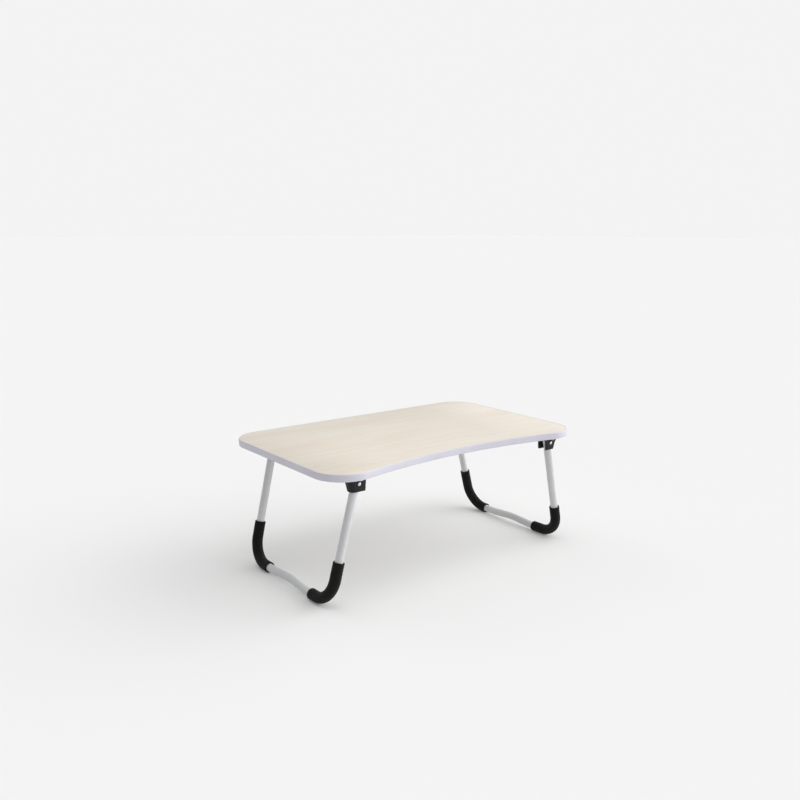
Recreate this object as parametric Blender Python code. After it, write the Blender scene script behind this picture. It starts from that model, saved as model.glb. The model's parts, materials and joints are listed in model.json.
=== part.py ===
"""Folding tray table: a laminated board on two U-shaped tube legs that fold flat under it.

Metres, +Z up.  The origin is on the floor under the middle of the board, +X runs along the
board, +Y points to its straight back edge, and the hollowed front edge faces -Y.
"""
import math

import bmesh
import bpy
from mathutils import Matrix, Vector

# ---------------------------------------------------------------- driving dimensions (metres)
GAP = 0.0003                    # clearance kept between pieces that touch
CUT_PAST = 0.002                # how far a cutter runs past the face that it opens

TOP_LENGTH = 0.600              # board, along X
TOP_DEPTH = 0.370               # board, along Y, to the tips of the front corners
TABLE_HEIGHT = 0.245            # floor to the upper face
TOP_THICKNESS = 0.0132          # laminates, core and band together
CORNER_RADIUS = 0.058
FRONT_DIP = 0.028               # how far the front edge curves in at its middle

LAMINATE = 0.0006
BAND_THICKNESS = 0.0016
BAND_ROUND = 0.0009             # rounding of the band's two long edges
TONGUE_DEPTH = 0.0065           # barb of the band, pressed into the core's groove
TONGUE_THICKNESS = 0.0022
TONGUE_TIP = 0.6                # thickness of the barb's tip, as a share of its root

TUBE_RADIUS = 0.0075
TUBE_WALL = 0.0011
TUBE_SIDES = 14
SPLAY = math.radians(13.6)      # lean of the opened legs, outward from vertical
PIVOT_X = 0.2355                # pivot axes, either side of the middle
PIVOT_DROP = 0.011              # pivot axis below the board
LEG_ROW_Y = -0.0164             # middle of the leg frames: nearer the front than the back
LEG_HALF_SPACING = 0.1408       # at the pivots, from the frame's middle
BAR_HALF_SPACING = 0.135        # where the leg and bar lines would meet
BEND_RADIUS = 0.046
BAR_BOW = 0.0034                # upward bow of the bottom bar between its sleeves
BAR_BOW_HALF = 0.064            # half the bowed length
END_ROUND = 0.0078              # rounded tube end, about the pivot axis

SLEEVE_RADIUS = 0.0104
SLEEVE_SIDES = 20
SLEEVE_LENGTH = 0.117
SLEEVE_START = 0.0745           # inner end of a sleeve, along the bar from its middle
# each foam sleeve sits where it was last pushed: positive is further up its leg
SLEEVE_SLIDE = {("front", "left"): 0.001, ("rear", "left"): -0.0015,
                ("front", "right"): -0.0078, ("rear", "right"): 0.0077}

BRACKET_BELOW_PIVOT = 0.0140
BRACKET_FLOOR = 0.0022          # plate that lies against the board, and its two ears
BRACKET_EDGE = 0.0009           # bevel round the lower edge
# plan of a bracket at three heights: inner end, outer end, half-width, outer corner radius
BRACKET_PLAN_LOW = (-0.0128, 0.0152, 0.0108, 0.0106)
BRACKET_PLAN_PIVOT = (-0.0136, 0.0178, 0.0110, 0.0085)
BRACKET_PLAN_TOP = (-0.0143, 0.0225, 0.0112, 0.0050)
CHANNEL_HALF = 0.0082           # inside half-width between the cheeks
CHANNEL_STEPS = 12              # facets of the channel's half-round back
POCKET_SIDES = 20               # facets of the round pocket for the tube's end
EAR_REACH = 0.0198              # from the middle plane to the end of an ear
EAR_HALF = 0.0062
SCREW_OFFSET = 0.0156           # screw, from the middle plane
EAR_STEPS = 12                  # facets of an ear's half-round end
HOLE_RADIUS = 0.0018
RIVET_HOLE_RADIUS = 0.0024

SCREW_RADIUS = 0.0015
SCREW_HEAD_RADIUS = 0.0033
SCREW_HEAD_HEIGHT = 0.0019
SCREW_LENGTH = 0.0115           # under the head
SCREW_SIDES = 12
RECESS = (0.0034, 0.0008, 0.0009)   # length, width and depth of each slot of the cross
RIVET_RADIUS = 0.0021
RIVET_HEAD_RADIUS = 0.0033
RIVET_HEAD_HEIGHT = 0.0015
RIVET_SIDES = 14
CLINCH_RADIUS = 0.0036          # rolled far end of the rivet, and the hollow in it
CLINCH_HEIGHT = 0.0011
CLINCH_HOLLOW = 0.0011
WASHER_RADIUS = 0.0046
WASHER_THICKNESS = 0.0007
INSERT_LENGTH = 0.016           # plastic insert inside each tube end, below the pivot
INSERT_SETBACK = 0.0004         # its end stands this far inside the tube's

# ---------------------------------------------------------------- worked-out dimensions
UNDERSIDE_Z = TABLE_HEIGHT - TOP_THICKNESS
PIVOT_Z = UNDERSIDE_Z - PIVOT_DROP
BAR_Z = SLEEVE_RADIUS * math.cos(math.pi / SLEEVE_SIDES)    # a flat of the sleeve on the floor
LEG_LENGTH = (PIVOT_Z - BAR_Z) / math.cos(SPLAY)            # pivot axis to bar axis
LEG_LEAN = math.atan2(LEG_HALF_SPACING - BAR_HALF_SPACING, LEG_LENGTH)
BEND_ANGLE = math.pi / 2 - LEG_LEAN
BEND_START = BAR_HALF_SPACING - BEND_RADIUS * math.tan(BEND_ANGLE / 2)
BEND_END = BEND_START + BEND_RADIUS * BEND_ANGLE
# length along the tube from the middle of the bar to the pivot axis
PIVOT_AT = BEND_END + ((LEG_LENGTH - BEND_RADIUS * (1 - math.cos(BEND_ANGLE)))
                       / math.cos(LEG_LEAN))
CHEEK_FACE = BRACKET_PLAN_PIVOT[2] + 0.0001     # where rivet and washer bear on a cheek

SIDES = {"left": -1, "right": 1}
ROWS = {"front": -1, "rear": 1}


# ---------------------------------------------------------------- helpers
def clear_scene():
    for obj in list(bpy.data.objects):
        bpy.data.objects.remove(obj, do_unlink=True)


def make_material(name, colour, roughness, metallic=0.0):
    mat = bpy.data.materials.new(name)
    mat.use_nodes = True
    shader = mat.node_tree.nodes["Principled BSDF"]
    shader.inputs["Base Color"].default_value = (*colour, 1.0)
    shader.inputs["Roughness"].default_value = roughness
    shader.inputs["Metallic"].default_value = metallic
    mat.diffuse_color = (*colour, 1.0)
    return mat


def mesh_from(name, bm):
    """Turn a bmesh into a mesh with outward faces, smooth except over real edges."""
    bmesh.ops.recalc_face_normals(bm, faces=bm.faces)
    mesh = bpy.data.meshes.new(name)
    bm.to_mesh(mesh)
    bm.free()
    mesh.shade_smooth()
    mesh.set_sharp_from_angle(angle=math.radians(35))
    return mesh


def place(name, mesh, mat, location=(0, 0, 0), rotation=(0, 0, 0), parent=None):
    obj = bpy.data.objects.new(name, mesh)
    bpy.context.collection.objects.link(obj)
    if not mesh.materials:
        mesh.materials.append(mat)
    obj.location = location
    obj.rotation_euler = rotation
    obj.parent = parent
    return obj


def add_ring(bm, points):
    return [bm.verts.new(p) for p in points]


def skin(bm, rings, close=False, caps=True):
    """Quads between neighbouring rings; `close` joins the last ring to the first."""
    count = len(rings[0])
    pairs = list(zip(rings, rings[1:]))
    if close:
        pairs.append((rings[-1], rings[0]))
    for low, high in pairs:
        for i in range(count):
            j = (i + 1) % count
            bm.faces.new((low[i], low[j], high[j], high[i]))
    if caps and not close:
        bm.faces.new(list(reversed(rings[0])))
        bm.faces.new(rings[-1])


def combined(name, mesh, tools):
    """Boolean `mesh` with (operation, mesh) tools, and return the result as a plain mesh."""
    base = place(name, mesh, None)
    helpers = []
    for operation, tool_mesh in tools:
        helper = place(name + "_tool", tool_mesh, None)
        helpers.append(helper)
        mod = base.modifiers.new(operation.lower(), "BOOLEAN")
        mod.operation = operation
        mod.solver = "EXACT"
        mod.object = helper
    bpy.context.view_layer.update()
    evaluated = base.evaluated_get(bpy.context.evaluated_depsgraph_get())
    result = bpy.data.meshes.new_from_object(evaluated)
    result.materials.clear()
    for obj in helpers + [base]:
        bpy.data.objects.remove(obj, do_unlink=True)
    result.shade_smooth()
    result.set_sharp_from_angle(angle=math.radians(35))
    return result


def cylinder_mesh(radius, start, end, sides=12):
    """A closed cylinder between two points, for cutting holes."""
    start, end = Vector(start), Vector(end)
    turn = Vector((0, 0, 1)).rotation_difference(end - start).to_matrix().to_4x4()
    bm = bmesh.new()
    bmesh.ops.create_cone(bm, cap_ends=True, segments=sides, radius1=radius, radius2=radius,
                          depth=(end - start).length,
                          matrix=Matrix.Translation((start + end) / 2) @ turn)
    return mesh_from("cutter", bm)


def turned_mesh(name, profile, sides):
    """Solid of revolution about Z from (radius, z) points; it starts and ends on the axis."""
    bm = bmesh.new()
    rings = [add_ring(bm, [(r * math.cos(a), r * math.sin(a), z) for a in
                           (2 * math.pi * i / sides for i in range(sides))])
             for r, z in profile[1:-1]]
    skin(bm, rings, caps=False)
    for (_, z), ring in ((profile[0], rings[0]), (profile[-1], rings[-1])):
        tip = bm.verts.new((0, 0, z))
        for i in range(sides):
            bm.faces.new((ring[i], ring[(i + 1) % sides], tip))
    return mesh_from(name, bm)


# ---------------------------------------------------------------- the board
def arc(cx, cy, radius, start, end, steps):
    """Points of an arc about (cx, cy), without its last point."""
    for i in range(steps):
        a = start + (end - start) * i / steps
        yield Vector((cx + radius * math.cos(a), cy + radius * math.sin(a)))


def board_outline(inset, front_steps=14, corner_steps=7):
    """Outline of the board pulled in by `inset`, anticlockwise seen from above."""
    corner_x = TOP_LENGTH / 2 - CORNER_RADIUS
    back_y = TOP_DEPTH / 2 - CORNER_RADIUS
    front_y = -back_y
    rise = CORNER_RADIUS - FRONT_DIP
    sweep = (corner_x ** 2 + rise ** 2 - CORNER_RADIUS ** 2) / (2 * FRONT_DIP)
    sweep_y = front_y - rise - sweep
    lean = math.atan2(front_y - sweep_y, corner_x)
    r = CORNER_RADIUS - inset
    half = math.pi / 2
    points = list(arc(0, sweep_y, sweep + inset, math.pi - lean, lean, front_steps))
    points += arc(corner_x, front_y, r, lean + math.pi, 2 * math.pi, corner_steps)
    points += [Vector((corner_x + r, front_y))]
    points += arc(corner_x, back_y, r, 0, half, corner_steps)
    points += [Vector((corner_x, back_y + r))]
    points += arc(-corner_x, back_y, r, half, math.pi, corner_steps)
    points += [Vector((-corner_x - r, back_y))]
    points += arc(-corner_x, front_y, r, math.pi, 2 * math.pi - lean, corner_steps)
    return points


def board_ring(bm, inset, z):
    return add_ring(bm, [(p.x, p.y, z) for p in board_outline(inset)])


def plate_mesh(name, profile):
    """A solid plate whose rim follows (inset, z) points from bottom to top."""
    bm = bmesh.new()
    skin(bm, [board_ring(bm, inset, z) for inset, z in profile])
    bmesh.ops.triangulate(bm, faces=[f for f in bm.faces if len(f.verts) > 4])
    return mesh_from(name, bm)


def screw_positions():
    for row, fy in ROWS.items():
        for side, fx in SIDES.items():
            for ear, fe in (("inner", -fy), ("outer", fy)):
                yield (f"{row}_{side}_{ear}", fx * PIVOT_X,
                       LEG_ROW_Y + fy * LEG_HALF_SPACING + fe * SCREW_OFFSET)


def screw_holes(depth):
    """Cutting tools for the screws' holes, up from the board's underside."""
    return [("DIFFERENCE", cylinder_mesh(HOLE_RADIUS, (x, y, UNDERSIDE_Z - CUT_PAST),
                                         (x, y, UNDERSIDE_Z + depth)))
            for _, x, y in screw_positions()]


def build_board(mats):
    rim = BAND_THICKNESS + GAP
    low = UNDERSIDE_Z + LAMINATE
    high = TABLE_HEIGHT - LAMINATE
    middle = (UNDERSIDE_Z + TABLE_HEIGHT) / 2
    groove = TONGUE_THICKNESS / 2 + GAP

    core = plate_mesh("board_core", [
        (rim, low + GAP), (rim, middle - groove),
        (rim + TONGUE_DEPTH + GAP, middle - groove), (rim + TONGUE_DEPTH + GAP, middle + groove),
        (rim, middle + groove), (rim, high - GAP)])
    place("board_core", combined("board_core", core, screw_holes(SCREW_LENGTH)), mats["mdf"])

    bottom = plate_mesh("bottom_laminate", [(rim, UNDERSIDE_Z), (rim, low)])
    place("bottom_laminate", combined("bottom_laminate", bottom, screw_holes(CUT_PAST)),
          mats["backing"])

    top = plate_mesh("top_laminate", [(rim, high), (rim, TABLE_HEIGHT)])
    place("top_laminate", top, mats["maple"])

    tongue = TONGUE_THICKNESS / 2
    profile = [(BAND_THICKNESS, middle - tongue), (BAND_THICKNESS, UNDERSIDE_Z)]
    for corner_z, turn in ((UNDERSIDE_Z + BAND_ROUND, -1), (TABLE_HEIGHT - BAND_ROUND, 1)):
        angles = (90, 60, 30, 0) if turn < 0 else (0, 30, 60, 90)
        for a in map(math.radians, angles):
            profile.append((BAND_ROUND - BAND_ROUND * math.cos(a),
                            corner_z + turn * BAND_ROUND * math.sin(a)))
    profile += [(BAND_THICKNESS, TABLE_HEIGHT), (BAND_THICKNESS, middle + tongue),
                (BAND_THICKNESS + TONGUE_DEPTH, middle + tongue * TONGUE_TIP),
                (BAND_THICKNESS + TONGUE_DEPTH, middle - tongue * TONGUE_TIP)]
    bm = bmesh.new()
    skin(bm, [board_ring(bm, inset, z) for inset, z in profile], close=True)
    place("edge_band", mesh_from("edge_band", bm), mats["band"])


# ---------------------------------------------------------------- hinge brackets
def bracket_plan(x_in, x_out, half, radius, steps=7):
    """Plan of a bracket: square at its open inner end, rounded at its outer end."""
    points = [Vector((x_in, -half))]
    points += arc(x_out - radius, -half + radius, radius, -math.pi / 2, 0, steps)
    points += [Vector((x_out, -half + radius)), Vector((x_out, half - radius))]
    points += list(arc(x_out - radius, half - radius, radius, 0, math.pi / 2, steps))[1:]
    points += [Vector((x_out - radius, half)), Vector((x_in, half))]
    return points


def section_at(plan, z, inset=0.0):
    """A bracket's outline at one height, as 3-D points."""
    x_in, x_out, half, radius = plan
    outline = bracket_plan(x_in + inset, x_out - inset, half - inset, radius - inset)
    return [(p.x, p.y, z) for p in outline]


def ears_mesh(low, high):
    """The flat plate with a round ear at each end, across the bracket."""
    end = EAR_REACH - EAR_HALF
    outline = [Vector((EAR_HALF, -end)), Vector((EAR_HALF, end))]
    outline += list(arc(0, end, EAR_HALF, 0, math.pi, EAR_STEPS))[1:]
    outline += [Vector((-EAR_HALF, end)), Vector((-EAR_HALF, -end))]
    outline += list(arc(0, -end, EAR_HALF, math.pi, 2 * math.pi, EAR_STEPS))[1:]
    bm = bmesh.new()
    skin(bm, [add_ring(bm, [(p.x, p.y, z) for p in outline]) for z in (low, high)])
    return mesh_from("bracket_ears", bm)


def channel_mesh(low, high):
    """Cutter for the channel: its back follows the opened leg, and it is open inward."""
    back = (TUBE_RADIUS + GAP) / math.cos(SPLAY)
    opening = 2 * BRACKET_PLAN_TOP[0]
    angles = [math.pi * (i / CHANNEL_STEPS - 0.5) for i in range(CHANNEL_STEPS + 1)]
    bm = bmesh.new()
    rings = []
    for z in (low, high):
        shift = -z * math.tan(SPLAY)
        points = [(shift + back * math.cos(a), CHANNEL_HALF * math.sin(a), z) for a in angles]
        points += [(opening, CHANNEL_HALF, z), (opening, -CHANNEL_HALF, z)]
        rings.append(add_ring(bm, points))
    skin(bm, rings)
    return mesh_from("bracket_channel", bm)


def bracket_mesh():
    """Bracket of the right-hand side, about its pivot: outward is +X, the board is above."""
    top = PIVOT_DROP - GAP
    bottom = -BRACKET_BELOW_PIVOT
    floor = top - BRACKET_FLOOR
    bm = bmesh.new()
    skin(bm, [add_ring(bm, section) for section in (
        section_at(BRACKET_PLAN_LOW, bottom, BRACKET_EDGE),
        section_at(BRACKET_PLAN_LOW, bottom + BRACKET_EDGE),
        section_at(BRACKET_PLAN_PIVOT, 0.0),
        section_at(BRACKET_PLAN_TOP, top))])
    body = mesh_from("bracket_body", bm)

    # room for the tube's rounded end, which swings outward as the leg folds
    pocket = (END_ROUND + GAP) / math.cos(math.pi / POCKET_SIDES)
    reach = EAR_REACH + CUT_PAST
    tools = [
        ("UNION", ears_mesh(floor, top)),
        ("DIFFERENCE", channel_mesh(bottom - CUT_PAST, floor)),
        ("DIFFERENCE", cylinder_mesh(pocket, (0, -CHANNEL_HALF, 0), (0, CHANNEL_HALF, 0),
                                     POCKET_SIDES)),
        ("DIFFERENCE", cylinder_mesh(RIVET_HOLE_RADIUS, (0, -reach, 0), (0, reach, 0)))]
    for y in (-SCREW_OFFSET, SCREW_OFFSET):
        tools.append(("DIFFERENCE", cylinder_mesh(HOLE_RADIUS, (0, y, floor - CUT_PAST),
                                                  (0, y, top + CUT_PAST))))
    return combined("hinge_bracket", body, tools)


def screw_mesh():
    """Pan-head wood screw, pointing up, with the underside of its head at z = 0."""
    r, head, high = SCREW_RADIUS, SCREW_HEAD_RADIUS, SCREW_HEAD_HEIGHT
    profile = [(0, -high), (head * 0.45, -high * 0.97), (head * 0.8, -high * 0.75),
               (head, -high * 0.32), (head, 0), (r, 0), (r, SCREW_LENGTH * 0.7),
               (r * 0.3, SCREW_LENGTH - GAP), (0, SCREW_LENGTH)]
    screw = turned_mesh("screw", profile, SCREW_SIDES)
    length, width, depth = RECESS
    slots = []
    for size in ((length, width, 2 * depth), (width, length, 2 * depth)):
        bm = bmesh.new()
        bmesh.ops.create_cube(bm, size=1.0, matrix=Matrix.Translation((0, 0, -high))
                              @ Matrix.Diagonal((*size, 1.0)))
        slots.append(("DIFFERENCE", mesh_from("slot", bm)))
    return combined("bracket_screw", screw, slots)


def rivet_mesh():
    """Pivot rivet along Z: domed head at the bottom, rolled over its washer at the top."""
    head = RIVET_HEAD_RADIUS
    under_head = -CHEEK_FACE - GAP
    clinch = CHEEK_FACE + WASHER_THICKNESS + 3 * GAP
    roll = (CLINCH_RADIUS + CLINCH_HOLLOW) / 2
    profile = [(0, under_head - RIVET_HEAD_HEIGHT)]
    for a in map(math.radians, (26, 52, 78)):
        profile.append((head * math.sin(a), under_head - RIVET_HEAD_HEIGHT * math.cos(a)))
    profile += [(head, under_head), (RIVET_RADIUS, under_head), (RIVET_RADIUS, clinch),
                (CLINCH_RADIUS, clinch), (CLINCH_RADIUS, clinch + CLINCH_HEIGHT / 2),
                (roll, clinch + CLINCH_HEIGHT), (CLINCH_HOLLOW, clinch + CLINCH_HEIGHT / 2),
                (CLINCH_HOLLOW, clinch + GAP), (0, clinch + GAP)]
    return turned_mesh("pivot_rivet", profile, RIVET_SIDES)


def washer_mesh():
    """Steel washer between the rolled end of a rivet and the cheek, about the rivet's axis."""
    low = CHEEK_FACE + GAP
    high = low + WASHER_THICKNESS
    corners = ((RIVET_HOLE_RADIUS, low), (WASHER_RADIUS, low),
               (WASHER_RADIUS, high), (RIVET_HOLE_RADIUS, high))
    bm = bmesh.new()
    rings = [add_ring(bm, [(r * math.cos(a), r * math.sin(a), z) for a in
                           (2 * math.pi * i / RIVET_SIDES for i in range(RIVET_SIDES))])
             for r, z in corners]
    skin(bm, rings, close=True)
    return mesh_from("rivet_washer", bm)


def build_hinges(mats):
    bracket, screw, rivet, washer = bracket_mesh(), screw_mesh(), rivet_mesh(), washer_mesh()
    for row, fy in ROWS.items():
        for side, fx in SIDES.items():
            pivot = Vector((fx * PIVOT_X, LEG_ROW_Y + fy * LEG_HALF_SPACING, PIVOT_Z))
            turn = 0 if side == "right" else math.pi
            place(f"hinge_bracket_{row}_{side}", bracket, mats["nylon"], pivot, (0, 0, turn))
            # the domed head faces away from the middle of the table
            axis = (fy * math.pi / 2, 0, 0)
            place(f"pivot_rivet_{row}_{side}", rivet, mats["zinc"], pivot, axis)
            place(f"rivet_washer_{row}_{side}", washer, mats["zinc"], pivot, axis)
    head_z = UNDERSIDE_Z - GAP - BRACKET_FLOOR - GAP
    for label, x, y in screw_positions():
        place(f"bracket_screw_{label}", screw, mats["screw"], (x, y, head_z))


# ---------------------------------------------------------------- leg frames
def frame_station(s):
    """Point and direction of the leg frame, `s` along the tube from the middle of its bar.

    The frame lies in its own YZ plane, with the pivot axis at z = 0 and the bar below it.
    """
    t = abs(s)
    if t <= BEND_START:
        y, z, angle = t, -LEG_LENGTH, 0.0
        if t < BAR_BOW_HALF:
            turn = math.pi * t / BAR_BOW_HALF
            z += BAR_BOW * (1 + math.cos(turn)) / 2
            angle = -math.atan(BAR_BOW * math.sin(turn) * math.pi / BAR_BOW_HALF / 2)
    elif t <= BEND_END:
        angle = (t - BEND_START) / BEND_RADIUS
        y = BEND_START + BEND_RADIUS * math.sin(angle)
        z = -LEG_LENGTH + BEND_RADIUS * (1 - math.cos(angle))
    else:
        angle = BEND_ANGLE
        y = BEND_START + BEND_RADIUS * math.sin(angle) + (t - BEND_END) * math.cos(angle)
        z = (-LEG_LENGTH + BEND_RADIUS * (1 - math.cos(angle))
             + (t - BEND_END) * math.sin(angle))
    point = Vector((0, y, z))
    direction = Vector((0, math.cos(angle), math.sin(angle)))
    if s < 0:
        point.y = -point.y
        direction.z = -direction.z
    return point, direction


def tube_section(s, radius, sides):
    """Vertices of the tube's section; one flat of the bar looks straight down when opened."""
    point, direction = frame_station(s)
    outward = Vector((0, direction.z, -direction.y))
    across = Vector((-1, 0, 0))
    return [point + radius * (math.cos(a) * outward + math.sin(a) * across) for a in
            (SPLAY + math.pi * (2 * i + 1) / sides for i in range(sides))]


def rounded_end(section, direction, radius=END_ROUND):
    """Move a section along the tube so that its end is round about the pivot axis."""
    return [p + direction * math.sqrt(radius ** 2 - p.x ** 2) for p in section]


def hollow_sweep(bm, stations, outer, inner, sides, round_ends=False):
    shells = []
    for radius in (outer, inner):
        rings = [tube_section(s, radius, sides) for s in stations]
        if round_ends:
            for index, sign in ((0, -1), (-1, 1)):
                _, direction = frame_station(stations[index])
                rings[index] = rounded_end(rings[index], direction * sign)
        shells.append([add_ring(bm, ring) for ring in rings])
    skin(bm, shells[0] + shells[1][::-1], close=True)


def spaced(start, end, steps):
    return [start + (end - start) * i / steps for i in range(steps + 1)]


def tube_mesh():
    half = spaced(0, BAR_BOW_HALF, 4) + spaced(BEND_START, BEND_END, 7) + [PIVOT_AT]
    stations = [-s for s in reversed(half[1:])] + half
    bm = bmesh.new()
    hollow_sweep(bm, stations, TUBE_RADIUS, TUBE_RADIUS - TUBE_WALL, TUBE_SIDES, round_ends=True)
    tube = mesh_from("leg_frame", bm)
    reach = LEG_HALF_SPACING + TUBE_RADIUS + CUT_PAST
    hole = cylinder_mesh(RIVET_HOLE_RADIUS, (0, -reach, 0), (0, reach, 0))
    return combined("leg_frame", tube, [("DIFFERENCE", hole)])


def insert_mesh():
    """Plastic insert that fills a tube end round the rivet, about the pivot axis."""
    radius = TUBE_RADIUS - TUBE_WALL - GAP
    lean = Vector((0, math.sin(LEG_LEAN), math.cos(LEG_LEAN)))
    circle = [Vector((radius * math.cos(a), radius * math.sin(a), 0)) for a in
              (2 * math.pi * i / TUBE_SIDES for i in range(TUBE_SIDES))]
    bm = bmesh.new()
    skin(bm, [add_ring(bm, [p - lean * INSERT_LENGTH for p in circle]),
              add_ring(bm, rounded_end(circle, lean, END_ROUND - INSERT_SETBACK))])
    body = mesh_from("tube_insert", bm)
    reach = TUBE_RADIUS + CUT_PAST
    hole = cylinder_mesh(RIVET_HOLE_RADIUS, (0, -reach, 0), (0, reach, 0))
    return combined("tube_insert", body, [("DIFFERENCE", hole)])


def sleeve_mesh(name, sign, slide):
    """Foam sleeve over one bottom bend of the frame."""
    start, end = SLEEVE_START + slide, SLEEVE_START + slide + SLEEVE_LENGTH
    stations = [start] + spaced(BEND_START, BEND_END, 7) + [end]
    bm = bmesh.new()
    hollow_sweep(bm, [sign * s for s in stations], SLEEVE_RADIUS, TUBE_RADIUS + GAP, SLEEVE_SIDES)
    return mesh_from(name, bm)


def build_legs(mats):
    tube, insert = tube_mesh(), insert_mesh()
    for side, fx in SIDES.items():
        pivot = bpy.data.objects.new(f"{side}_leg_pivot", None)
        bpy.context.collection.objects.link(pivot)
        pivot.location = (fx * PIVOT_X, LEG_ROW_Y, PIVOT_Z)
        pivot.rotation_euler = (0, -SPLAY, 0 if side == "right" else math.pi)
        place(f"leg_frame_{side}", tube, mats["powder_coat"], parent=pivot)
        for row, fy in ROWS.items():
            end = fy * fx                       # the left frame is the right one turned about
            place(f"tube_insert_{row}_{side}", insert, mats["nylon"],
                  (0, end * LEG_HALF_SPACING, 0), (0, 0, 0 if end > 0 else math.pi), pivot)
            name = f"foot_sleeve_{row}_{side}"
            place(name, sleeve_mesh(name, end, SLEEVE_SLIDE[row, side]), mats["foam"],
                  parent=pivot)


def main():
    clear_scene()
    mats = {
        "maple": make_material("maple_laminate", (0.78, 0.70, 0.58), 0.42),
        "backing": make_material("backing_laminate", (0.80, 0.79, 0.76), 0.55),
        "mdf": make_material("mdf_core", (0.47, 0.35, 0.23), 0.85),
        "band": make_material("pvc_edge_band", (0.55, 0.53, 0.60), 0.38),
        "powder_coat": make_material("powder_coated_tube", (0.66, 0.67, 0.69), 0.36),
        "foam": make_material("black_foam", (0.018, 0.018, 0.018), 0.82),
        "nylon": make_material("black_nylon", (0.020, 0.020, 0.021), 0.45),
        "zinc": make_material("zinc_plated_steel", (0.72, 0.72, 0.70), 0.28, 1.0),
        "screw": make_material("screw_steel", (0.58, 0.58, 0.57), 0.35, 1.0),
    }
    build_board(mats)
    build_hinges(mats)
    build_legs(mats)


main()
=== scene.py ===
"""Looks of the folding tray table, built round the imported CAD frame.

Metres, +Z up, in the CAD's frame.  Every visible CAD solid is replaced by a finer piece of the
same size, or keeps its shape and gets a better material.
"""
import json
import math

import bmesh
import bpy
from mathutils import Matrix, Vector, noise


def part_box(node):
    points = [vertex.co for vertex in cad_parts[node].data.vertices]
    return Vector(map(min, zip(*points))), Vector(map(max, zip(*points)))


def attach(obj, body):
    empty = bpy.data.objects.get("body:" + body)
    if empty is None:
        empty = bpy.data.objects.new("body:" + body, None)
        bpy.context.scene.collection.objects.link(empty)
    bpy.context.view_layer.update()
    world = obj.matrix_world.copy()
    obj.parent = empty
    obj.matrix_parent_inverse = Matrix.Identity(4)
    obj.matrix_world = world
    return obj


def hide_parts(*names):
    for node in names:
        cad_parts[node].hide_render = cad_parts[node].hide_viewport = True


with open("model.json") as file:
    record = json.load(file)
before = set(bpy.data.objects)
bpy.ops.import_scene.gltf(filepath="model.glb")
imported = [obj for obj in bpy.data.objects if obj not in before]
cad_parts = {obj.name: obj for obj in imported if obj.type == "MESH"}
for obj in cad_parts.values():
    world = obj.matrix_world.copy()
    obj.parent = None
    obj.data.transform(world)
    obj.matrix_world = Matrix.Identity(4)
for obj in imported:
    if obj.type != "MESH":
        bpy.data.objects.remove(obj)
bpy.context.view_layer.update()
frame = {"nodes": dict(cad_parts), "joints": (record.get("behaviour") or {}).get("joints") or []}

# ---------------------------------------------------------------- sizes, as in the CAD source
BAND_LOW, BAND_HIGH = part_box("edge_band")
TOP_LENGTH = BAND_HIGH.x - BAND_LOW.x
TOP_DEPTH = 2 * BAND_HIGH.y
TABLE_HEIGHT = BAND_HIGH.z
UNDERSIDE_Z = BAND_LOW.z
CORNER_RADIUS = 0.058
FRONT_DIP = 0.028
LAMINATE = 0.0006
BAND_THICKNESS = 0.0016
SEAM_HALF = 0.00012             # half the band's butt joint, at the middle of the back

PIVOTS = {j["child"]: Vector(j["pos_m"]) for j in frame["joints"]}
PIVOT_DROP = UNDERSIDE_Z - PIVOTS["left_leg"].z
SPLAY = math.radians(13.6)
TUBE_RADIUS = 0.0075
TUBE_WALL = 0.0011
END_ROUND = 0.0078
SLEEVE_RADIUS = 0.0104
BAR_Z = SLEEVE_RADIUS * math.cos(math.pi / 20)      # the CAD sleeve has 20 sides
LEG_HALF_SPACING = 0.1408
BAR_HALF_SPACING = 0.135
BEND_RADIUS = 0.046
BAR_BOW = 0.0034
BAR_BOW_HALF = 0.064
SLEEVE_START = 0.0745
SLEEVE_LENGTH = 0.117
SLEEVE_SLIDE = {("front", "left"): 0.001, ("rear", "left"): -0.0015,
                ("front", "right"): -0.0078, ("rear", "right"): 0.0077}

LEG_LENGTH = (PIVOTS["left_leg"].z - BAR_Z) / math.cos(SPLAY)
LEG_LEAN = math.atan2(LEG_HALF_SPACING - BAR_HALF_SPACING, LEG_LENGTH)
BEND_ANGLE = math.pi / 2 - LEG_LEAN
BEND_START = BAR_HALF_SPACING - BEND_RADIUS * math.tan(BEND_ANGLE / 2)
BEND_END = BEND_START + BEND_RADIUS * BEND_ANGLE
PIVOT_AT = BEND_END + ((LEG_LENGTH - BEND_RADIUS * (1 - math.cos(BEND_ANGLE)))
                       / math.cos(LEG_LEAN))

BRACKET_BELOW_PIVOT = 0.0140
BRACKET_GAP = 0.0003            # under the board
BRACKET_FLOOR = 0.0022
BRACKET_EDGE = 0.0009
BRACKET_PLAN_LOW = (-0.0128, 0.0152, 0.0108, 0.0106)
BRACKET_PLAN_PIVOT = (-0.0136, 0.0178, 0.0110, 0.0085)
BRACKET_PLAN_TOP = (-0.0143, 0.0225, 0.0112, 0.0050)
CHANNEL_HALF = 0.0082
EAR_REACH = 0.0198
EAR_HALF = 0.0062
SCREW_OFFSET = 0.0156
HOLE_RADIUS = 0.0018
RIVET_HOLE_RADIUS = 0.0024
CHEEK_FACE = BRACKET_PLAN_PIVOT[2] + 0.0001
SCREW_RADIUS = 0.0015
SCREW_HEAD_RADIUS = 0.0033
SCREW_HEAD_HEIGHT = 0.0019
SCREW_LENGTH = 0.0115
RIVET_RADIUS = 0.0021
RIVET_HEAD_RADIUS = 0.0033
RIVET_HEAD_HEIGHT = 0.0015
WASHER_RADIUS = 0.0046
WASHER_THICKNESS = 0.0007

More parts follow.
